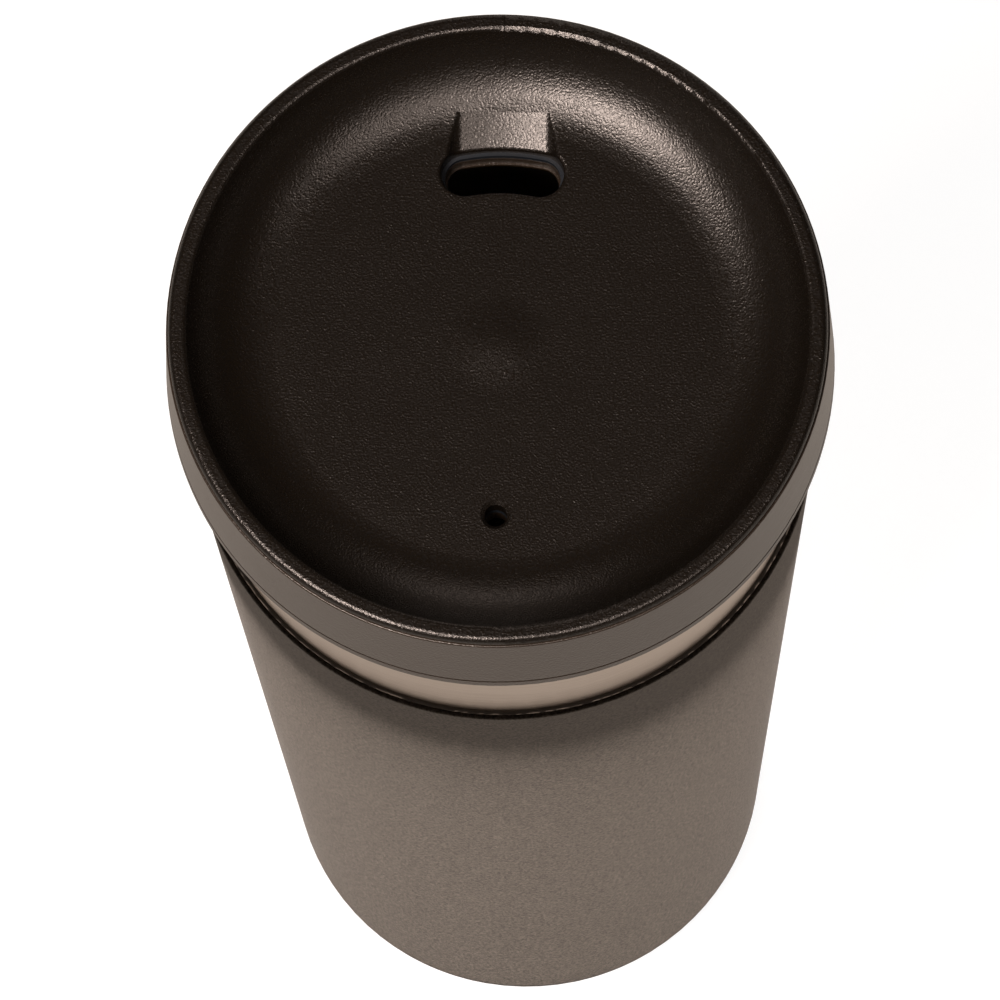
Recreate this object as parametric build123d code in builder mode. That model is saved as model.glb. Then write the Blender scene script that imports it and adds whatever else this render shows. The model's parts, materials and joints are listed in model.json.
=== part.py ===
"""Insulated tumbler with a press-in lid, as separate pieces.

Millimetres, +Z up.  The origin is the centre of the face the cup stands on, +Y
points to the drink slot, and +X is to the right of someone who faces the slot.
Every round piece is turned about the Z axis from a half profile in the XZ plane.
"""
from build123d import *
import os
from math import asin, atan, cos, degrees, pi, radians, sin, sqrt, tan

# ---------------------------------------------------------------- overall sizes
overall_height = 207.0          # standing face to the top of the lid's rim
shoulder_height = 165.0         # where the coated body ends and the bare neck starts
shoulder_radius = 41.7          # body, just under its shoulder
base_radius = 31.7              # body, produced down to its lowest edge
base_edge_radius = 6.2
shoulder_ledge = 1.2            # how far the coated body stands out of the bare neck's foot
neck_flare = 1.5                # how much wider the neck's straight part is than its foot
neck_straight_length = 13.0     # from the lip down to where the neck starts to taper

# ---------------------------------------------------------------- double wall
shell_wall = 0.6                # outer steel
cup_wall = 0.6                  # inner steel
lip_depth = 2.5                 # solid, rolled lip where both walls are welded
lip_rounding = 0.55
vacuum_gap_side = 3.4
vacuum_gap_bottom = 5.0
cup_corner_radius = 9.0         # inside the bottom of the inner cup
foil_thickness = 0.1
foil_margin = 12.0              # bare inner cup above and below the foil

# ---------------------------------------------------------------- base
pad_thickness = 2.0
pad_stand_proud = 0.6           # how far the steel stands clear of the table
pad_clearance = 0.4             # pad to the rim of its recess
flange_width = 4.0              # shell turned in under the base plate
plate_wall = 0.8
dimple_radius = 4.0             # evacuation dimple in the base plate
dimple_depth = 1.3
evacuation_hole_radius = 0.8
getter_radius = 4.5
getter_thickness = 1.6

# ---------------------------------------------------------------- lid, outside
rim_width = 2.3                 # flat top of the rim, with its rounded edges
rim_outer_rounding = 0.9
rim_inner_rounding = 0.75
skirt_clearance = 0.6           # skirt to the neck
skirt_wall = 1.45               # at the skirt's upper edge
skirt_flare = 0.45              # how much wider the skirt is at its lower edge
skirt_step = 0.25               # how far the skirt stands out of the rim
lid_skirt_depth = 17.7          # rim's top to the skirt's lower edge
parting_depth = 0.95            # rim's top to the parting groove
parting_width = 0.4
parting_inset = 0.75
skirt_groove_height = 2.0       # above the skirt's lower edge
skirt_groove_size = 0.45
skirt_edge_rounding = 0.45

# ---------------------------------------------------------------- lid, dish
dish_depth = 8.0
dish_wall_lean = 25.0           # degrees off the vertical
dish_corner_radius = 12.6
cover_floor = 3.0               # thickness of the cover's floor
cover_wall = 2.2                # thickness of the cover's sloping wall
pip_radius = 7.0                # low round moulding mark in the middle of the dish
pip_height = 0.3

# ---------------------------------------------------------------- lid, slot and vent
slot_inset = 5.15               # slot's middle line, inside the edge of the flat floor
slot_width = 6.5                # across
slot_length = 16.4              # end to end
slot_edge_rounding = 0.5
plate_slot_step = 0.55          # lower plate's slot, inside the cover's, all round
slot_lip = 0.25                 # step inside the lower plate's slot
slot_lip_height = 0.6
chute_width = 12.6              # sloping channel from the dish's wall into the slot
chute_reach = 2.65              # chute's upper edge, outside the edge of the flat floor
chute_drop = 1.5                # below the dish's floor at the slot
chute_side_rounding = 1.6
chute_brim_rounding = 0.6
chute_hollow = 0.5              # how far the chute's bottom is hollowed in the middle
vent_inset = 6.2                # vent, inside the edge of the flat floor
vent_radius = 1.5
vent_chamfer = 0.55
gasket_thickness = 1.0
gasket_step = 0.5               # slot gasket's hole, inside the cover's slot, all round
gasket_rim = 1.9                # width of the gasket's rim round its hole

# ---------------------------------------------------------------- lid, plug and seal
lip_drop = 1.0                  # cover's underside to the lip of the cup
lid_seat_gap = 0.15             # lid's web to the lip
web_thickness = 2.0
plug_clearance = 0.8            # plug to the neck's inside
plug_wall = 2.4
plug_foot = 1.6                 # plug below the seal's groove
plug_edge_rounding = 0.8
plate_thickness = 2.5           # lower plate, across the plug
seal_height = 5.2
seal_groove_depth = 1.0
seal_inset = 1.75               # web's underside to the seal's groove
seal_fit = 0.05                 # seal to the neck and to the groove's bottom
seal_side_clearance = 0.3       # seal to the groove's upper and lower sides
seal_rib = 0.55                 # how far the ribs stand out of the seal's band
rib_height = 1.0

near = 0.01                     # places closer than this are the same

# ---------------------------------------------------------------- derived
top = overall_height
neck_foot_radius = shoulder_radius - shoulder_ledge
neck_radius = neck_foot_radius + neck_flare
lip_top = top - dish_depth - cover_floor - lip_drop
taper_top = lip_top - neck_straight_length
steel_bottom = pad_stand_proud
body_slope = (shoulder_radius - base_radius) / (shoulder_height - steel_bottom)
neck_bore = neck_radius - shell_wall - cup_wall
slope_factor = sqrt(1 + body_slope**2)          # level thickness of a sloping wall

plate_bottom = steel_bottom + shell_wall        # base plate lies on the turned-in flange
recess_top = pad_thickness
plate_top = recess_top + plate_wall
cup_bottom = plate_top + vacuum_gap_bottom      # underside of the inner cup
flange_radius = base_radius - base_edge_radius - flange_width
pad_radius = flange_radius - pad_clearance

floor_top = top - dish_depth
floor_bottom = floor_top - cover_floor
lower_plate_top = floor_bottom - gasket_thickness
lower_plate_bottom = lower_plate_top - plate_thickness
plug_radius = neck_bore - plug_clearance
plug_bore = plug_radius - plug_wall
web_bottom = lip_top + lid_seat_gap
web_top = web_bottom + web_thickness
skirt_bore = neck_radius + skirt_clearance
skirt_top_radius = skirt_bore + skirt_wall
skirt_bottom_radius = skirt_top_radius + skirt_flare
rim_radius = skirt_top_radius - skirt_step
rim_inner_radius = rim_radius - rim_width
skirt_top = top - parting_depth - parting_width
skirt_bottom = top - lid_skirt_depth
seal_groove_radius = plug_radius - seal_groove_depth
seal_groove_height = seal_height + 2 * seal_side_clearance
seal_groove_top = web_bottom - seal_inset
seal_groove_middle = seal_groove_top - seal_groove_height / 2
plug_bottom = seal_groove_top - seal_groove_height - plug_foot
skirt_slope = (skirt_bottom_radius - skirt_top_radius) / (skirt_top - skirt_bottom)
skirt_groove_radius = skirt_bottom_radius - skirt_slope * skirt_groove_height


def body_radius(height):
    """Outside radius of the tapered body."""
    return base_radius + body_slope * (height - steel_bottom)


def cup_radius(height):
    """Outside radius of the inner cup, below the neck."""
    return body_radius(height) - (shell_wall + vacuum_gap_side) * slope_factor


def corners(sketch, *places):
    """The sketch's corners nearest to the given (radius, height) places."""
    return [sketch.vertices().sort_by_distance((r, z))[0] for r, z in places]


# ================================================================ cup
shell_inner_corner = (body_radius(plate_bottom) - shell_wall * slope_factor, plate_bottom)
with BuildPart() as outer_shell:
    # Bare neck, shoulder, coated body, rounded base and the flange turned in under it.
    with BuildSketch(Plane.XZ) as shell_profile:
        with BuildLine():
            Polyline(
                (neck_radius, lip_top - lip_depth),
                (neck_radius, taper_top),
                (neck_foot_radius, shoulder_height),
                (shoulder_radius, shoulder_height),
                (base_radius, steel_bottom),
                (flange_radius, steel_bottom),
                (flange_radius, plate_bottom),
                shell_inner_corner,
                (shoulder_radius - shell_wall * slope_factor, shoulder_height - shell_wall),
                (neck_foot_radius - shell_wall, shoulder_height - shell_wall),
                (neck_radius - shell_wall, taper_top),
                (neck_radius - shell_wall, lip_top - lip_depth),
                close=True,
            )
        make_face()
        fillet(corners(shell_profile, (base_radius, steel_bottom)), base_edge_radius)
        fillet(corners(shell_profile, shell_inner_corner), base_edge_radius - shell_wall)
        fillet(corners(shell_profile, (shoulder_radius, shoulder_height)), shell_wall / 2)
    revolve(axis=Axis.Z)

slope_top = taper_top + cup_wall
slope_foot = shoulder_height + vacuum_gap_side
cup_corner = (cup_radius(cup_bottom), cup_bottom)
cup_floor = cup_bottom + cup_wall
cup_inner_corner = (cup_radius(cup_floor) - cup_wall * slope_factor, cup_floor)
with BuildPart() as inner_cup:
    # Straight bore for the lid, a slope in to the tapered wall, and a rounded bottom.
    with BuildSketch(Plane.XZ) as cup_profile:
        with BuildLine():
            Polyline(
                (neck_radius - shell_wall, lip_top),
                (neck_radius - shell_wall, slope_top),
                (cup_radius(slope_foot), slope_foot),
                cup_corner,
                (0, cup_bottom),
                (0, cup_floor),
                cup_inner_corner,
                (cup_radius(slope_foot) - cup_wall * slope_factor, slope_foot),
                (neck_bore, slope_top),
                (neck_bore, lip_top),
                close=True,
            )
        make_face()
        fillet(corners(cup_profile, cup_corner), cup_corner_radius + cup_wall)
        fillet(corners(cup_profile, cup_inner_corner), cup_corner_radius)
    revolve(axis=Axis.Z)
    # The lip covers the edge of the outer shell and is as thick as both walls.
    with BuildSketch(Plane.XY.offset(lip_top - lip_depth)):
        Circle(neck_radius)
        Circle(neck_bore, mode=Mode.SUBTRACT)
    extrude(amount=lip_depth)
    lip_edges = inner_cup.edges().filter_by(GeomType.CIRCLE).group_by(Axis.Z)[-1]
    fillet(lip_edges, lip_rounding)

with BuildPart() as radiation_foil:
    # Copper foil wrapped on the outside of the inner cup.
    foil_bottom = cup_bottom + foil_margin
    foil_top = shoulder_height - foil_margin
    with BuildSketch(Plane.XZ):
        with BuildLine():
            Polyline(
                (cup_radius(foil_bottom), foil_bottom),
                (cup_radius(foil_bottom) + foil_thickness, foil_bottom),
                (cup_radius(foil_top) + foil_thickness, foil_top),
                (cup_radius(foil_top), foil_top),
                close=True,
            )
        make_face()
    revolve(axis=Axis.Z)

with BuildPart() as base_plate:
    # Pressed plate on the flange, raised in the middle to make the pad's recess.
    plate_edge = flange_radius + flange_width
    with BuildSketch(Plane.XZ):
        with BuildLine():
            Polyline(
                (plate_edge, plate_bottom),
                (flange_radius, plate_bottom),
                (flange_radius, recess_top),
                (0, recess_top),
                (0, plate_top),
                (flange_radius + plate_wall, plate_top),
                (flange_radius + plate_wall, plate_bottom + plate_wall),
                (plate_edge, plate_bottom + plate_wall),
                close=True,
            )
        make_face()
    revolve(axis=Axis.Z)
    with BuildSketch(Plane.XY.offset(plate_top)):
        Circle(dimple_radius + plate_wall)
    extrude(amount=dimple_depth)
    with BuildSketch(Plane.XY.offset(recess_top)):
        Circle(dimple_radius)
    extrude(amount=dimple_depth, mode=Mode.SUBTRACT)
    Hole(evacuation_hole_radius)

with BuildPart() as vacuum_seal:
    # Bead of solder glass that closes the evacuation hole from below.
    dimple_top = recess_top + dimple_depth
    with BuildSketch(Plane.XY.offset(dimple_top)):
        Circle(dimple_radius / 2)
    extrude(amount=-dimple_depth / 2)
    fillet(vacuum_seal.edges().group_by(Axis.Z)[0], dimple_depth / 4)
    with BuildSketch(Plane.XY.offset(dimple_top)):
        Circle(evacuation_hole_radius)
    extrude(amount=plate_wall)

with BuildPart() as getter:
    # Gas-absorbing pill welded under the inner cup.
    with BuildSketch(Plane.XY.offset(cup_bottom)):
        Circle(getter_radius)
    extrude(amount=-getter_thickness)
    fillet(getter.edges().group_by(Axis.Z)[0], getter_thickness / 4)

with BuildPart() as foot_pad:
    # Soft pad glued into the recess; the cup stands on it.
    with BuildSketch(Plane.XY):
        Circle(pad_radius)
    extrude(amount=pad_thickness)
    fillet(foot_pad.edges().group_by(Axis.Z)[0], pad_stand_proud)

# ================================================================ lid
lean = radians(dish_wall_lean)
dish_foot_radius = rim_inner_radius - dish_depth * tan(lean)
flat_floor_radius = dish_foot_radius - dish_corner_radius * tan((pi / 2 - lean) / 2)
under_top_radius = rim_inner_radius + cover_wall / cos(lean)
under_foot_radius = under_top_radius - (top - floor_bottom) * tan(lean)
under_turn = top - (under_top_radius - skirt_bore) / tan(lean)

# The kidney-shaped slot follows an arc about the axis; the vent is just opposite.
slot_distance = flat_floor_radius - slot_inset
slot_back = slot_distance + slot_width / 2
slot_half_turn = degrees(asin((slot_length - slot_width) / 2 / slot_distance))
plate_slot_width = slot_width - 2 * plate_slot_step
slot_middle = CenterArc((0, 0), slot_distance, 90 - slot_half_turn, 2 * slot_half_turn)
vent_distance = flat_floor_radius - vent_inset

# The chute runs straight down from a point on the dish's rounded corner.
chute_top_distance = flat_floor_radius + chute_reach
chute_top_rise = dish_corner_radius - sqrt(dish_corner_radius**2 - chute_reach**2)
chute_angle = atan((chute_top_rise + chute_drop) / (chute_top_distance - slot_back))
chute_end = Plane(
    origin=(0, chute_top_distance, floor_top + chute_top_rise),
    x_dir=(1, 0, 0),
    z_dir=(0, -cos(chute_angle), -sin(chute_angle)),
)

half = chute_width / 2
side_run = (slot_length / 2 - slot_lip - half) / (chute_drop + (slot_back - slot_distance) * tan(chute_angle))
brim = half + dish_depth * side_run

with BuildPart() as lid_cover:
    # Textured top: flat rim, round dish, and the ledge that sits on the skirt.
    with BuildSketch(Plane.XZ) as cover_profile:
        with BuildLine():
            Polyline(
                (0, floor_bottom),
                (0, floor_top),
                (dish_foot_radius, floor_top),
                (rim_inner_radius, top),
                (rim_radius, top),
                (rim_radius, top - parting_depth),
                (rim_radius - parting_inset, top - parting_depth),
                (rim_radius - parting_inset, skirt_top),
                (skirt_bore, skirt_top),
                (skirt_bore, under_turn),
                (under_foot_radius, floor_bottom),
                close=True,
            )
        make_face()
        fillet(corners(cover_profile, (rim_radius, top)), rim_outer_rounding)
        fillet(corners(cover_profile, (rim_inner_radius, top)), rim_inner_rounding)
        fillet(corners(cover_profile, (dish_foot_radius, floor_top)), dish_corner_radius)
        fillet(corners(cover_profile, (under_foot_radius, floor_bottom)), dish_corner_radius)
    revolve(axis=Axis.Z)
    # Low round mark in the middle of the dish, where the plastic was fed in.
    with BuildSketch(Plane.XZ):
        with BuildLine():
            Line((0, floor_top), (0, floor_top + pip_height))
            Spline((0, floor_top + pip_height), (pip_radius, floor_top), tangents=((1, 0), (1, 0)))
            Line((pip_radius, floor_top), (0, floor_top))
        make_face()
    revolve(axis=Axis.Z)
    # Slot, with its upper edge rounded.
    with BuildSketch(Plane.XY.offset(floor_bottom)):
        SlotArc(slot_middle, slot_width)
    extrude(amount=cover_floor, mode=Mode.SUBTRACT)
    slot_edges = lid_cover.edges().filter_by_position(Axis.Y, slot_distance - slot_width, slot_back)
    slot_edges = slot_edges.filter_by_position(Axis.X, -slot_length / 2, slot_length / 2)
    fillet(slot_edges.filter_by_position(Axis.Z, floor_top - near, floor_top + near), slot_edge_rounding)
    # Chute: a shallow trough with sloping sides, cut down into the slot's far edge.
    with BuildSketch(chute_end) as trough:
        with BuildLine():
            ThreePointArc((-half, 0), (0, -chute_hollow), (half, 0))
            Polyline((half, 0), (brim, dish_depth), (-brim, dish_depth), (-half, 0))
        make_face()
        fillet(corners(trough, (half, 0), (-half, 0)), chute_side_rounding)
    extrude(amount=(chute_top_distance - slot_distance) / cos(chute_angle), mode=Mode.SUBTRACT)
    brim_lines = lid_cover.edges().filter_by(GeomType.LINE)
    fillet(brim_lines.filter_by_position(Axis.Z, floor_top - near, floor_top + near), chute_brim_rounding)
    with Locations((0, -vent_distance, floor_top)):
        CounterSinkHole(vent_radius, vent_radius + vent_chamfer)

with BuildPart() as lid_body:
    # Skirt, web that rests on the cup's lip, plug, and the lower plate across it.
    with BuildSketch(Plane.XZ) as body_profile:
        with BuildLine():
            Polyline(
                (0, lower_plate_bottom),
                (0, lower_plate_top),
                (plug_bore, lower_plate_top),
                (plug_bore, web_top),
                (skirt_bore, web_top),
                (skirt_bore, skirt_top),
                (skirt_top_radius, skirt_top),
                (skirt_bottom_radius, skirt_bottom),
                (skirt_bore, skirt_bottom),
                (skirt_bore, web_bottom),
                (plug_radius, web_bottom),
                (plug_radius, plug_bottom),
                (plug_bore, plug_bottom),
                (plug_bore, lower_plate_bottom),
                close=True,
            )
        make_face()
        fillet(corners(body_profile, (skirt_top_radius, skirt_top)), skirt_edge_rounding / 2)
        fillet(corners(body_profile, (skirt_bottom_radius, skirt_bottom)), skirt_edge_rounding)
        fillet(corners(body_profile, (plug_radius, plug_bottom)), plug_edge_rounding)
        # Groove for the seal in the plug, and a fine one just above the skirt's edge.
        with Locations((plug_radius, seal_groove_middle)):
            Rectangle(2 * seal_groove_depth, seal_groove_height, mode=Mode.SUBTRACT)
        with Locations((skirt_groove_radius, skirt_bottom + skirt_groove_height)):
            Rectangle(2 * skirt_groove_size, skirt_groove_size, mode=Mode.SUBTRACT)
    revolve(axis=Axis.Z)
    # Slot with a narrow lip at its lower end, and the vent.
    with BuildSketch(Plane.XY.offset(lower_plate_top)):
        SlotArc(slot_middle, plate_slot_width)
    extrude(amount=slot_lip_height - plate_thickness, mode=Mode.SUBTRACT)
    with BuildSketch(Plane.XY.offset(lower_plate_top)):
        SlotArc(slot_middle, plate_slot_width - 2 * slot_lip)
    extrude(amount=-plate_thickness, mode=Mode.SUBTRACT)
    with Locations((0, -vent_distance, lower_plate_top)):
        Hole(vent_radius)

with BuildPart() as slot_gasket:
    # Soft ring clamped between the cover and the lower plate, round the slot.
    with BuildSketch(Plane.XY.offset(lower_plate_top)):
        SlotArc(slot_middle, slot_width + 2 * gasket_rim)
        SlotArc(slot_middle, slot_width - 2 * gasket_step, mode=Mode.SUBTRACT)
    extrude(amount=gasket_thickness)

with BuildPart() as vent_gasket:
    # The same round the vent.
    with BuildSketch(Plane.XY.offset(lower_plate_top)):
        with Locations((0, -vent_distance)):
            Circle(vent_radius + gasket_rim)
            Circle(vent_radius, mode=Mode.SUBTRACT)
    extrude(amount=gasket_thickness)

with BuildPart() as lid_seal:
    # Ribbed ring in the plug's groove; its ribs bear on the inside of the neck.
    band_inner = seal_groove_radius + seal_fit
    rib_tip = neck_bore - seal_fit
    band_outer = rib_tip - seal_rib
    with BuildSketch(Plane.XZ) as seal_profile:
        with Locations(((band_inner + band_outer) / 2, seal_groove_middle)):
            Rectangle(band_outer - band_inner, seal_height)
        with Locations(((band_inner + rib_tip) / 2, seal_groove_middle)):
            with GridLocations(0, (seal_height - rib_height) / 2, 1, 3):
                Rectangle(rib_tip - band_inner, rib_height)
        fillet(seal_profile.vertices().group_by(Axis.X)[-1], rib_height / 3)
    revolve(axis=Axis.Z)

# ================================================================ write the pieces
pieces = {
    "outer_shell": outer_shell,
    "inner_cup": inner_cup,
    "radiation_foil": radiation_foil,
    "base_plate": base_plate,
    "vacuum_seal": vacuum_seal,
    "getter": getter,
    "foot_pad": foot_pad,
    "lid_cover": lid_cover,
    "lid_body": lid_body,
    "slot_gasket": slot_gasket,
    "vent_gasket": vent_gasket,
    "lid_seal": lid_seal,
}
os.makedirs("parts", exist_ok=True)
for name, piece in pieces.items():
    piece.part.label = name
    export_step(piece.part, f"parts/{name}.step")
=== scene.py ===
# %% [markdown]
# # An insulated tumbler with a press-in lid
# The CAD model gives every shape that works: two steel walls, the lid with its
# dish and drink slot, the seal. This lesson adds what the CAD model has no word
# for: the finish of each piece, a few small marks left by the way the pieces
# were made, and a small studio to look at them in.

# %% Load the frame
import json
import math

import bmesh
import bpy
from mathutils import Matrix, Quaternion, Vector, noise

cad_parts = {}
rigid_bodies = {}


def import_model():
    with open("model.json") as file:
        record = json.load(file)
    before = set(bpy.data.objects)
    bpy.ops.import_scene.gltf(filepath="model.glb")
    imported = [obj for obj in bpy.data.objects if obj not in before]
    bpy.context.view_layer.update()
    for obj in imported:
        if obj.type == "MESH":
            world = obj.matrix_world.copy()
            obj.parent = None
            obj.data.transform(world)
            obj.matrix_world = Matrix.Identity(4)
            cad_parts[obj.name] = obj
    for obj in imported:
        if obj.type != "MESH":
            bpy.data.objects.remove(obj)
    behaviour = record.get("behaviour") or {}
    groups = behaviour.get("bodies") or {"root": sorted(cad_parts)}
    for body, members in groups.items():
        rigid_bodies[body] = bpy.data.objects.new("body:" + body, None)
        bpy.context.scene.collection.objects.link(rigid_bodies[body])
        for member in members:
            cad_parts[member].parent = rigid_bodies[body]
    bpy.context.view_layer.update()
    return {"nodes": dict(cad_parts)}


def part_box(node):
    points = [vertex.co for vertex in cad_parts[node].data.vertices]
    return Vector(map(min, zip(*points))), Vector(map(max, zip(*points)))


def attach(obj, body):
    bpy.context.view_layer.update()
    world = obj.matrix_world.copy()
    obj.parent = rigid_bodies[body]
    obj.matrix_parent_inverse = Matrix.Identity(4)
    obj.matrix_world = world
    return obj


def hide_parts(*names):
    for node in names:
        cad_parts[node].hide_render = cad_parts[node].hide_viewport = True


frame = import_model()
nodes = frame["nodes"]
print("CAD nodes:", ", ".join(sorted(nodes)))

# %% [markdown]
# Everything is in metres, with the cup standing on z = 0 and the drink slot
# towards +Y. The heights that the finishes need are read from the nodes' own
# boxes. The shoulder isn't at the edge of any box, so its height is written here
# and has to be changed along with the CAD model.

# %% Heights the finishes need
MM = 0.001
rim_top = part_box("lid_cover")[1].z
rim_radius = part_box("lid_cover")[1].x
lip_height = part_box("outer_shell")[1].z
shoulder_height = 165 * MM
print(f"rim top {rim_top / MM:.1f} mm, steel lip {lip_height / MM:.1f} mm,",
      f"rim radius {rim_radius / MM:.1f} mm")

# %% [markdown]
# Colours are written as the sRGB hex values that a colour card would give.
# Blender's shaders work in linear light, so one function turns a hex value into
# the four linear numbers that a socket takes.

# %% Hex colour to linear
def linear(hex_colour):
    parts = [int(hex_colour[i : i + 2], 16) / 255 for i in (1, 3, 5)]
    return [c / 12.92 if c <= 0.04045 else ((c + 0.055) / 1.055) ** 2.4 for c in parts] + [1.0]


print("mid grey is", [round(c, 3) for c in linear("#808080")])

# %% [markdown]
# A material is a small tree of nodes. One function adds a node, sets its
# properties and sockets, and links what comes into it, so that each recipe
# below reads from top to bottom. A second one starts a finish on Blender's
# standard surface shader and names it after the real process.

# %% Add a node, and start a finish
def add(tree, kind, settings=(), links=()):
    made = tree.nodes.new("ShaderNode" + kind)
    for name, value in dict(settings).items():
        if isinstance(name, str) and hasattr(made, name):
            setattr(made, name, value)
        else:
            made.inputs[name].default_value = value
    for name, source in dict(links).items():
        tree.links.new(source, made.inputs[name])
    return made


def start_finish(name, **sockets):
    finish = bpy.data.materials.new(name)
    finish.use_nodes = True
    shader = finish.node_tree.nodes["Principled BSDF"]
    for socket, value in sockets.items():
        shader.inputs[socket.replace("_", " ")].default_value = value
    return finish, finish.node_tree, shader


def per_metre(size_mm):
    """Noise scale that gives grains of about this size."""
    return 1 / (size_mm * MM)


print("a 0.5 mm grain needs a noise scale of", per_metre(0.5))

# %% [markdown]
# ## The powder-coated body and the bare neck
# The outer wall is one stainless-steel drawing. Below the shoulder it is
# powder-coated: polyester powder is sprayed on and baked, and it flows out to a
# dry, slightly pebbled skin of a warm graphite colour with grains of 0.1 to
# 0.2 mm. Above the shoulder the steel is masked and stays bare, with a satin
# brushing that runs round the neck. Both are on one piece, so one material
# switches from coat to steel at the shoulder's height.

# %% Powder coat below, satin steel above
coat, tree, shader = start_finish("powder_coat_on_stainless_steel", IOR=1.5, Specular_IOR_Level=0.3)
place = add(tree, "TexCoord").outputs["Object"]
height = add(tree, "SeparateXYZ", links={"Vector": place}).outputs["Z"]
bare = add(tree, "MapRange",
           {"From Min": shoulder_height + 0.02 * MM, "From Max": shoulder_height + 0.1 * MM},
           {"Value": height}).outputs["Result"]
# drawn 0.4 mm wide, coarser than the real grains, so that they show from the camera's distance
grain = add(tree, "TexNoise", {"Scale": per_metre(0.4), "Detail": 2.0, "Roughness": 0.7}, {"Vector": place})
cloud = add(tree, "TexNoise", {"Scale": per_metre(9), "Detail": 1.0}, {"Vector": place})
speckle = add(tree, "ValToRGB", links={"Fac": grain.outputs["Fac"]})
speckle.color_ramp.elements[0].position = 0.35
speckle.color_ramp.elements[0].color = linear("#39332E")
speckle.color_ramp.elements[1].position = 0.65
speckle.color_ramp.elements[1].color = linear("#675F57")
tone = add(tree, "MixRGB", {"blend_type": "MULTIPLY", "Fac": 0.06},
           {"Color1": speckle.outputs["Color"], "Color2": cloud.outputs["Fac"]})
around = add(tree, "Mapping", {"Scale": (60, 60, 4000)}, {"Vector": place})
brushing = add(tree, "TexNoise", {"Scale": 1.0, "Detail": 3.0}, {"Vector": around.outputs["Vector"]})
steel_tone = add(tree, "ValToRGB", links={"Fac": brushing.outputs["Fac"]})
steel_tone.color_ramp.elements[0].position = 0.3
steel_tone.color_ramp.elements[0].color = linear("#BDB1A6")
steel_tone.color_ramp.elements[1].position = 0.7
steel_tone.color_ramp.elements[1].color = linear("#CDC2B8")
colour = add(tree, "MixRGB",
             links={"Fac": bare, "Color1": tone.outputs["Color"], "Color2": steel_tone.outputs["Color"]})
roughness = add(tree, "MapRange", {"To Min": 0.62, "To Max": 0.34}, {"Value": bare})
relief = add(tree, "MixRGB",
             links={"Fac": bare, "Color1": grain.outputs["Fac"], "Color2": brushing.outputs["Fac"]})
bump = add(tree, "Bump", {"Strength": 1.0, "Distance": 0.06 * MM}, {"Height": relief.outputs["Color"]})
tree.links.new(colour.outputs["Color"], shader.inputs["Base Color"])
tree.links.new(bare, shader.inputs["Metallic"])
tree.links.new(roughness.outputs["Result"], shader.inputs["Roughness"])
tree.links.new(bump.outputs["Normal"], shader.inputs["Normal"])
nodes["outer_shell"].material_slots[0].material = coat
print("outer_shell:", coat.name)

# %% [markdown]
# ## Satin stainless steel
# The inner cup and the base plate are the same steel, spun and brushed round
# the axis. Brushing leaves fine lines about 0.2 mm apart. They are rings round
# the axis, so the pattern is a noise that is stretched far round the cup and
# squeezed along its height; on the flat base the distance from the axis takes
# the place of the height.

# %% Satin stainless steel
steel, tree, shader = start_finish("satin_stainless_steel", Metallic=1.0)
place = add(tree, "TexCoord").outputs["Object"]
flat_place = add(tree, "Mapping", {"Scale": (1, 1, 0)}, {"Vector": place})
reach = add(tree, "VectorMath", {"operation": "LENGTH"}, {"Vector": flat_place.outputs["Vector"]})
height = add(tree, "SeparateXYZ", links={"Vector": place}).outputs["Z"]
rings = add(tree, "CombineXYZ", {"X": 0.0}, {"Y": reach.outputs["Value"], "Z": height})
lines = add(tree, "TexNoise", {"Scale": per_metre(0.4), "Detail": 3.0}, {"Vector": rings.outputs["Vector"]})
tone = add(tree, "ValToRGB", links={"Fac": lines.outputs["Fac"]})
tone.color_ramp.elements[0].color = linear("#B4ABA2")
tone.color_ramp.elements[1].color = linear("#D3CCC4")
sheen = add(tree, "MapRange", {"To Min": 0.26, "To Max": 0.4}, {"Value": lines.outputs["Fac"]})
bump = add(tree, "Bump", {"Strength": 0.2, "Distance": 0.01 * MM}, {"Height": lines.outputs["Fac"]})
tree.links.new(tone.outputs["Color"], shader.inputs["Base Color"])
tree.links.new(sheen.outputs["Result"], shader.inputs["Roughness"])
tree.links.new(bump.outputs["Normal"], shader.inputs["Normal"])
for name in ("inner_cup", "base_plate"):
    nodes[name].material_slots[0].material = steel
    print(name + ":", steel.name)

# %% [markdown]
# ## The moulded lid
# The lid is polypropylene, black with a little warmth. Its top is moulded
# against a spark-eroded steel surface, which leaves an even grain: small
# pits and crowns that each catch the light, so that a highlight on it
# breaks up into glints. The grain of such a mould is 0.1 to 0.3 mm.

# %% Textured polypropylene for the lid's top
top_plastic, tree, shader = start_finish("moulded_polypropylene_spark_grain", IOR=1.49)
place = add(tree, "TexCoord").outputs["Object"]
# drawn 0.27 mm wide, at the coarse end, so that single glints can be seen
pits = add(tree, "TexNoise", {"Scale": per_metre(0.27), "Detail": 1.0, "Roughness": 0.5}, {"Vector": place})
# shallow sinks, a few millimetres across, where the plastic shrank as it cooled
sinks = add(tree, "TexNoise", {"Scale": per_metre(14), "Detail": 1.0}, {"Vector": place})
tone = add(tree, "ValToRGB", links={"Fac": pits.outputs["Fac"]})
tone.color_ramp.elements[0].position = 0.3
tone.color_ramp.elements[0].color = linear("#090705")
tone.color_ramp.elements[1].position = 0.75
tone.color_ramp.elements[1].color = linear("#130F0A")
gloss = add(tree, "MapRange", {"From Min": 0.3, "From Max": 0.7, "To Min": 0.36, "To Max": 0.24},
            {"Value": pits.outputs["Fac"]})
soft_bump = add(tree, "Bump", {"Strength": 1.0, "Distance": 0.12 * MM}, {"Height": sinks.outputs["Fac"]})
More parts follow.
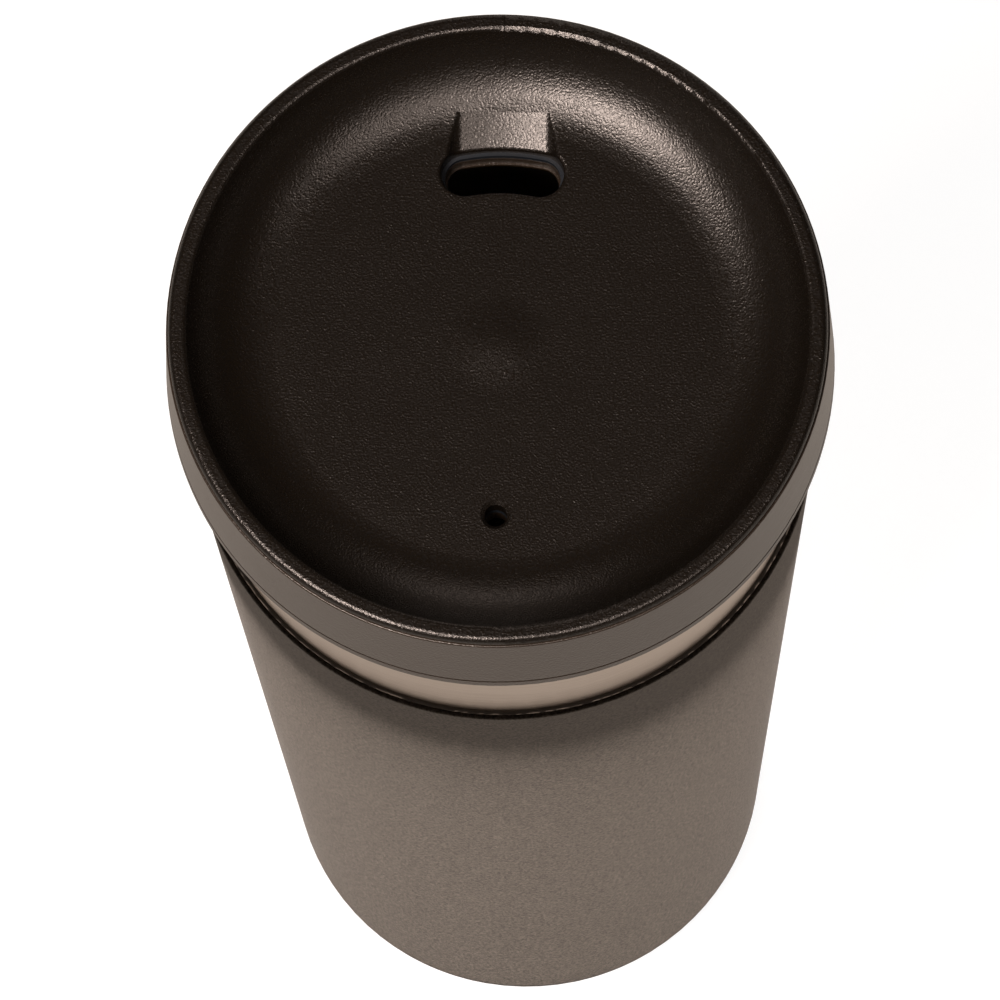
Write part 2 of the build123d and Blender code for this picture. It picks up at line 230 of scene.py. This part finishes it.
# the split line of the mould crosses the rim at the back, a hair's breadth high
across = add(tree, "SeparateXYZ", links={"Vector": place})
off_line = add(tree, "Math", {"operation": "ABSOLUTE"}, {0: across.outputs["X"]})
ridge = add(tree, "MapRange", {"From Min": 0.0, "From Max": 0.22 * MM, "To Min": 1.0, "To Max": 0.0},
            {"Value": off_line.outputs["Value"]})
behind = add(tree, "MapRange", {"From Min": rim_radius - 6.5 * MM, "From Max": rim_radius - 4 * MM},
             {"Value": across.outputs["Y"]})
witness = add(tree, "Math", {"operation": "MULTIPLY"},
              {0: ridge.outputs["Result"], 1: behind.outputs["Result"]})
line_bump = add(tree, "Bump", {"Strength": 1.0, "Distance": 0.06 * MM},
                {"Height": witness.outputs["Value"], "Normal": soft_bump.outputs["Normal"]})
bump = add(tree, "Bump", {"Strength": 1.0, "Distance": 0.065 * MM},
           {"Height": pits.outputs["Fac"], "Normal": line_bump.outputs["Normal"]})
tree.links.new(tone.outputs["Color"], shader.inputs["Base Color"])
tree.links.new(gloss.outputs["Result"], shader.inputs["Roughness"])
tree.links.new(bump.outputs["Normal"], shader.inputs["Normal"])
nodes["lid_cover"].material_slots[0].material = top_plastic
print("lid_cover:", top_plastic.name)

# %% [markdown]
# The skirt is the same plastic out of a mould that was polished with stone
# instead of eroded. It is smoother, with faint lines round the axis where the
# mould was turned and a trace of grain, and reads as a soft satin band.

# %% Smooth polypropylene for the skirt
skirt_plastic, tree, shader = start_finish("moulded_polypropylene_stoned", IOR=1.49)
place = add(tree, "TexCoord").outputs["Object"]
around = add(tree, "Mapping", {"Scale": (120, 120, 2500)}, {"Vector": place})
turned = add(tree, "TexNoise", {"Scale": 1.0, "Detail": 2.0}, {"Vector": around.outputs["Vector"]})
fine = add(tree, "TexNoise", {"Scale": per_metre(0.35), "Detail": 1.0}, {"Vector": place})
tone = add(tree, "ValToRGB", links={"Fac": turned.outputs["Fac"]})
tone.color_ramp.elements[0].color = linear("#1C1610")
tone.color_ramp.elements[1].color = linear("#2A221A")
gloss = add(tree, "MapRange", {"To Min": 0.26, "To Max": 0.34}, {"Value": turned.outputs["Fac"]})
line_bump = add(tree, "Bump", {"Strength": 0.4, "Distance": 0.02 * MM}, {"Height": turned.outputs["Fac"]})
bump = add(tree, "Bump", {"Strength": 1.0, "Distance": 0.06 * MM},
           {"Height": fine.outputs["Fac"], "Normal": line_bump.outputs["Normal"]})
tree.links.new(tone.outputs["Color"], shader.inputs["Base Color"])
tree.links.new(gloss.outputs["Result"], shader.inputs["Roughness"])
tree.links.new(bump.outputs["Normal"], shader.inputs["Normal"])
nodes["lid_body"].material_slots[0].material = skirt_plastic
print("lid_body:", skirt_plastic.name)

# %% [markdown]
# ## Rubber and silicone
# The foot pad is black rubber, dull and a little dusty. The lid seal and the two
# small gaskets are silicone, softer to the eye because light goes a little way
# in. They differ in colour, dullness and size of grain only, so they share one
# recipe: a fine noise tints the colour, changes the dullness and raises the
# surface a little.

# %% Soft pieces
def soft_finish(name, dark, light, grain_mm, dull, ior):
    finish, tree, shader = start_finish(name, IOR=ior)
    place = add(tree, "TexCoord").outputs["Object"]
    grain = add(tree, "TexNoise", {"Scale": per_metre(grain_mm), "Detail": 2.0}, {"Vector": place})
    tone = add(tree, "ValToRGB", links={"Fac": grain.outputs["Fac"]})
    tone.color_ramp.elements[0].color = linear(dark)
    tone.color_ramp.elements[1].color = linear(light)
    gloss = add(tree, "MapRange", {"To Min": dull + 0.1, "To Max": dull - 0.05},
                {"Value": grain.outputs["Fac"]})
    bump = add(tree, "Bump", {"Strength": 0.3, "Distance": 0.03 * MM}, {"Height": grain.outputs["Fac"]})
    tree.links.new(tone.outputs["Color"], shader.inputs["Base Color"])
    tree.links.new(gloss.outputs["Result"], shader.inputs["Roughness"])
    tree.links.new(bump.outputs["Normal"], shader.inputs["Normal"])
    return finish


soft = {
    "foot_pad": soft_finish("black_nitrile_rubber", "#16140F", "#2A2722", 0.8, 0.75, 1.52),
    "lid_seal": soft_finish("grey_silicone_rubber", "#4A4947", "#5B5A58", 1.2, 0.5, 1.41),
    "slot_gasket": soft_finish("blue_grey_silicone_rubber", "#10151A", "#1A2129", 1.0, 0.45, 1.41),
}
soft["vent_gasket"] = soft["slot_gasket"]
for name, finish in soft.items():
    nodes[name].material_slots[0].material = finish
    print(name + ":", finish.name)

# %% [markdown]
# ## What is shut inside the vacuum
# Three pieces are never seen once the cup is closed, but a cutaway shows them: a
# copper foil that throws heat back, a getter pill that soaks up stray gas, and
# the glass solder that plugs the pump hole. Foil is creased in small facets, the
# pill is pressed metal powder, and the solder glass is dark and glossy.

# %% Copper foil, getter and solder glass
def hard_finish(name, dark, light, grain_mm, roughness, raise_mm, **sockets):
    finish, tree, shader = start_finish(name, **sockets)
    place = add(tree, "TexCoord").outputs["Object"]
    cells = add(tree, "TexVoronoi", {"Scale": per_metre(grain_mm)}, {"Vector": place})
    tone = add(tree, "MixRGB", {"Color1": linear(dark), "Color2": linear(light)},
               {"Fac": cells.outputs["Distance"]})
    gloss = add(tree, "MapRange", {"To Min": roughness, "To Max": roughness + 0.12},
                {"Value": cells.outputs["Distance"]})
    bump = add(tree, "Bump", {"Strength": 0.4, "Distance": raise_mm * MM},
               {"Height": cells.outputs["Distance"]})
    tree.links.new(tone.outputs["Color"], shader.inputs["Base Color"])
    tree.links.new(gloss.outputs["Result"], shader.inputs["Roughness"])
    tree.links.new(bump.outputs["Normal"], shader.inputs["Normal"])
    return finish


hidden = {
    "radiation_foil": hard_finish("creased_copper_foil", "#B4694A", "#E3A184", 6, 0.22, 0.3, Metallic=1.0),
    "getter": hard_finish("pressed_zirconium_powder", "#5F5D5A", "#8A8782", 0.4, 0.6, 0.05, Metallic=1.0),
    "vacuum_seal": hard_finish("lead_free_solder_glass", "#2B2A28", "#4A4844", 0.7, 0.08, 0.05, IOR=1.6),
}
for name, finish in hidden.items():
    nodes[name].material_slots[0].material = finish
    print(name + ":", finish.name)

# %% [markdown]
# ## Small things that the making leaves
# Four kinds of small piece are too fine for the CAD model. Each is round, so
# each starts as a thin outline of a few vertices and is spun round. The outline
# is written as pairs of radius and height in millimetres. Where it starts and
# ends on the axis, the spin leaves a heap of vertices there, and merging them
# closes the pole.

# %% Spin an outline round the axis
def turned_piece(name, outline, finish, body, steps=180, middle=(0, 0, 0), shape=None):
    work = bmesh.new()
    points = [work.verts.new((radius * MM, 0, height * MM)) for radius, height in outline]
    on_axis = outline[0][0] == 0 and outline[-1][0] == 0
    pairs = list(zip(points, points[1:])) + ([] if on_axis else [(points[-1], points[0])])
    edges = [work.edges.new(pair) for pair in pairs]
    bmesh.ops.spin(work, geom=points + edges, cent=(0, 0, 0), axis=(0, 0, 1),
                   angle=2 * math.pi, steps=steps, use_merge=True)
    bmesh.ops.remove_doubles(work, verts=work.verts, dist=0.0005 * MM)
    bmesh.ops.recalc_face_normals(work, faces=work.faces)
    if shape:
        shape(work.verts)
    bmesh.ops.translate(work, verts=work.verts, vec=middle)
    mesh = bpy.data.meshes.new(name)
    work.to_mesh(mesh)
    work.free()
    mesh.shade_smooth()
    mesh.set_sharp_from_angle(angle=math.radians(32))
    mesh.materials.append(finish)
    piece = bpy.data.objects.new(name, mesh)
    bpy.context.scene.collection.objects.link(piece)
    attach(piece, body)
    print(f"{name}: {len(mesh.polygons)} faces on {body}")
    return piece


# %% [markdown]
# The foot pad is a rubber disc with three rings pressed into its underside, so
# that it grips a wet table instead of floating on a film of water, and a round
# hollow in the middle. It stands for the plain disc of the CAD model and fills
# the same space.

# %% Foot pad with grip rings
pad_low, pad_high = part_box("foot_pad")
pad_radius, pad_thickness = pad_high.x / MM, (pad_high.z - pad_low.z) / MM
groove_radii, groove_half, groove_depth = (17.2, 13.0, 8.8), 0.6, 0.35
outline = [(0, pad_thickness), (pad_radius - 0.15, pad_thickness), (pad_radius, pad_thickness - 0.15),
           (pad_radius, 0.6), (pad_radius - 0.08, 0.3), (pad_radius - 0.3, 0.08), (pad_radius - 0.6, 0)]
for radius in groove_radii:
    outline += [(radius + groove_half, 0), (radius + groove_half - 0.15, groove_depth),
                (radius - groove_half + 0.15, groove_depth), (radius - groove_half, 0)]
outline += [(4.6, 0), (4.4, groove_depth), (0, groove_depth)]
grip_pad = turned_piece("foot_pad_with_rings", outline, soft["foot_pad"], "cup")
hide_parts("foot_pad")

# %% [markdown]
# Powder builds up against the masking tape at the shoulder. When the tape is
# pulled off, it leaves a low, crumbly bead of coat round the foot of the bare
# neck. A ray shot inwards just above the shoulder finds the neck's surface, and
# a little noise on the bead makes it uneven.

# %% Bead of coat at the shoulder
def reach_of(node, height, inside):
    """Radius of a node's wall at this height, from the axis or from outside."""
    from_axis = (Vector((0, 0, height)), Vector((1, 0, 0)))
    from_outside = (Vector((0.2, 0, height)), Vector((-1, 0, 0)))
    start, way = from_axis if inside else from_outside
    return nodes[node].ray_cast(start, way)[1].x / MM


def crumble(verts):
    for vert in verts:
        vert.co += vert.co.normalized() * noise.noise(vert.co * per_metre(0.7)) * 0.07 * MM
        vert.co.z += noise.noise(vert.co * per_metre(0.5)) * 0.06 * MM


neck_foot = reach_of("outer_shell", shoulder_height + 0.3 * MM, inside=False)
bead_height = shoulder_height / MM
bead = [(neck_foot - 0.05, bead_height - 0.05), (neck_foot + 0.55, bead_height - 0.05),
        (neck_foot + 0.5, bead_height + 0.1), (neck_foot + 0.3, bead_height + 0.26),
        (neck_foot + 0.1, bead_height + 0.34), (neck_foot - 0.05, bead_height + 0.36)]
coat_bead = turned_piece("coat_bead_at_shoulder", bead, coat, "cup",
                         steps=720, shape=crumble)
print(f"neck foot radius {neck_foot:.2f} mm")

# %% [markdown]
# The inner cup is made of a rolled wall with a pressed bottom, joined by a laser
# weld that runs round inside. Every pulse leaves a puddle that overlaps the last
# one, so the bead is a row of fine scales, here 0.9 mm apart.

# %% Weld bead inside the cup
weld_height = 21.0
weld_radius = reach_of("inner_cup", weld_height * MM, inside=True)
scale_length = 0.9
scale_count = round(2 * math.pi * weld_radius / scale_length)


def ripple(verts):
    for vert in verts:
        turn = math.atan2(vert.co.y, vert.co.x) / (2 * math.pi) * scale_count
        swell = 1 - 0.0011 * abs((turn % 1) - 0.5)
        vert.co.x, vert.co.y = vert.co.x * swell, vert.co.y * swell


weld = [(weld_radius + 0.1, weld_height - 0.75), (weld_radius - 0.02, weld_height - 0.6),
        (weld_radius - 0.09, weld_height - 0.3), (weld_radius - 0.11, weld_height),
        (weld_radius - 0.09, weld_height + 0.3), (weld_radius + 0.02, weld_height + 0.6),
        (weld_radius + 0.14, weld_height + 0.75)]
weld_bead = turned_piece("weld_bead_inside", weld, steel, "cup",
                         steps=scale_count * 4, shape=ripple)
print(f"{scale_count} scales at radius {weld_radius:.2f} mm")

# %% [markdown]
# Steel pins push the lid out of its mould and leave six round marks under the
# lower plate: a raised rim with a shallow flat inside it. A ray shot upwards
# finds the plate.

# %% Pin marks under the lid
pin_circle = 0.015
plate_under = nodes["lid_body"].ray_cast(Vector((pin_circle, 0, 0.1)), Vector((0, 0, 1)))[1].z
mark = [(0, -0.06), (2.1, -0.06), (2.2, -0.16), (2.4, -0.16), (2.55, 0.05), (0, 0.05)]
pin_marks = []
for number in range(6):
    angle = math.radians(30 + 60 * number)
    middle = (pin_circle * math.cos(angle), pin_circle * math.sin(angle), plate_under)
    pin_marks.append(turned_piece(f"pin_mark_{number + 1}", mark, skirt_plastic, "lid",
                                  steps=48, middle=middle))
print(f"lower plate's underside at {plate_under / MM:.1f} mm")

# %% [markdown]
# ## The studio
# The cup stands on a plain white table and is seen through a long lens from high
# up, which keeps circles near the axis as clean ellipses. The table is only there
# for the camera: the light that a real table would throw up is given by the lower
# half of the world instead, so that its brightness can be set apart from the
# table's own.

# %% Table
table_size = 30.0
sheet = bmesh.new()
bmesh.ops.create_grid(sheet, x_segments=1, y_segments=1, size=table_size / 2)
table_mesh = bpy.data.meshes.new("white_table")
sheet.to_mesh(table_mesh)
sheet.free()
table = bpy.data.objects.new("white_table", table_mesh)
bpy.context.scene.collection.objects.link(table)
table.visible_diffuse = table.visible_glossy = table.visible_shadow = False
white, tree, shader = start_finish("opal_acrylic_table", Roughness=0.9, Emission_Strength=0.93)
shader.inputs["Base Color"].default_value = linear("#7A7978")
shader.inputs["Emission Color"].default_value = linear("#FFFFFF")
table_mesh.materials.append(white)
print("table:", table_size, "m square")

# %% World light
world = bpy.data.worlds.new("studio_room")
bpy.context.scene.world = world
world.use_nodes = True
tree = world.node_tree
backdrop = tree.nodes["Background"]
sphere = add(tree, "TexCoord").outputs["Generated"]
direction = add(tree, "SeparateXYZ", links={"Vector": sphere}).outputs["Z"]
rise = add(tree, "MapRange", {"From Min": -1.0, "From Max": 1.0}, {"Value": direction})
room = add(tree, "ValToRGB", links={"Fac": rise.outputs["Result"]})
room.color_ramp.elements[0].position = 0.42
room.color_ramp.elements[0].color = linear("#CDBFB3")
room.color_ramp.elements[1].position = 0.58
room.color_ramp.elements[1].color = linear("#1E1B19")
tree.links.new(room.outputs["Color"], backdrop.inputs["Color"])
backdrop.inputs["Strength"].default_value = 1.0
print("world:", world.name)

# %% [markdown]
# The main light is a soft box in front and to the left, high up. It draws the
# crescent on the far side of the dish. A wide, weak panel in front lights the
# near edge of the rim, a small one on the right picks out the grain at the left
# of the dish, and one low at the back lifts the near wall of the dish.

# %% Soft boxes
def soft_box(name, azimuth, elevation, distance, side, watts, colour="#FFFFFF"):
    """azimuth is counted anticlockwise from the front (-Y); negative is to the left."""
    turn, lift = math.radians(azimuth), math.radians(elevation)
    away = Vector((math.sin(turn) * math.cos(lift), -math.cos(turn) * math.cos(lift), math.sin(lift)))
    data = bpy.data.lights.new(name, "AREA")
    data.size, data.energy, data.color = side, watts, linear(colour)[:3]
    box = bpy.data.objects.new(name, data)
    box.location = Vector((0, 0, rim_top / 2)) + away * distance
    box.rotation_euler = (-away).to_track_quat("-Z", "Y").to_euler()
    bpy.context.scene.collection.objects.link(box)
    print(f"{name}: {watts} W, {side} m wide, {distance} m away")
    return box


key = soft_box("key_soft_box", -40, 60, 1.6, 0.52, 36, "#FFE9DC")
side = soft_box("right_panel", 38, 66, 1.8, 0.45, 5, "#FFE9DC")
front = soft_box("front_panel", 5, 60, 2.2, 1.2, 6, "#FFE9DC")
back = soft_box("back_panel", 180, 24, 2.0, 0.7, 2.2, "#FFE9DC")

# %% [markdown]
# The body is nearly upright and dull, so it needs a light of its own: a ring of
# small lamps straight above the cup. They graze the tapered wall evenly all
# round, and the lid, which stands out over the wall, throws a soft band of
# shadow below the shoulder. Light linking keeps the ring off the lid and the
# other boxes off the body, which no real set could do so cleanly, so the two are
# lit apart. The pieces added above go with whichever they belong to.

# %% Ring above the cup
lamp_count = 40
ring_radius, ring_height = 0.1545, 1.2
ring_shift = -0.005   # a little to the left, which shortens the shadow there
ring = []
for number in range(lamp_count):
    angle = 2 * math.pi * number / lamp_count
    data = bpy.data.lights.new(f"ring_lamp_{number:02d}", "AREA")
    data.shape, data.size, data.energy, data.color = "DISK", 0.01, 100, linear("#FFF6F0")[:3]
    lamp = bpy.data.objects.new(data.name, data)
    lamp.location = (ring_shift + ring_radius * math.cos(angle), ring_radius * math.sin(angle),
                     rim_top + ring_height)
    bpy.context.scene.collection.objects.link(lamp)
    ring.append(lamp)
print(lamp_count, "lamps,", ring_height, "m above the rim")

# %% Which light reaches which piece
def lit_only_by(lights, members, name):
    group = bpy.data.collections.new(name)
    for member in members:
        group.objects.link(member)
    for light in lights:
        light.light_linking.receiver_collection = group
    print(name + ":", len(lights), "lights on", len(members), "pieces")


body_wall = nodes["outer_shell"]
the_rest = [piece for piece in nodes.values() if piece != body_wall]
the_rest += [grip_pad, weld_bead, table] + pin_marks
lit_only_by(ring, [body_wall, coat_bead], "ring_on_the_body")
lit_only_by([key, side, front, back], the_rest, "boxes_on_the_rest")

# %% [markdown]
# The camera looks down at 72.7 degrees from 4.2 m away. It aims a little past
# the near edge of the rim, is turned about 5 degrees round the cup, and leans by
# 4 degrees, as a camera on a boom does.

# %% Camera
elevation, turn, lean = math.radians(72.71), math.radians(4.85), math.radians(-3.95)
distance = 4.2335
straight_in = Vector((0, math.cos(elevation), -math.sin(elevation)))
round_axis = Quaternion((0, 0, 1), turn)
camera_data = bpy.data.cameras.new("camera")
camera_data.sensor_width = 36
camera_data.lens = 1149.8
camera_data.clip_start, camera_data.clip_end = 0.1, 100
camera = bpy.data.objects.new("camera", camera_data)
bpy.context.scene.collection.objects.link(camera)
bpy.context.scene.camera = camera
leaning = straight_in.to_track_quat("-Z", "Y") @ Quaternion((0, 0, 1), lean)
camera.rotation_mode = "QUATERNION"
camera.rotation_quaternion = round_axis @ leaning
aim = Vector((0, 0, rim_top - 0.924 * MM)) + round_axis @ (leaning @ Vector((0.278 * MM, -22.69 * MM, 0)))
camera.location = aim - (round_axis @ straight_in) * distance
bpy.context.scene.view_settings.view_transform = "Standard"
print("camera at", [round(c, 3) for c in camera.location])
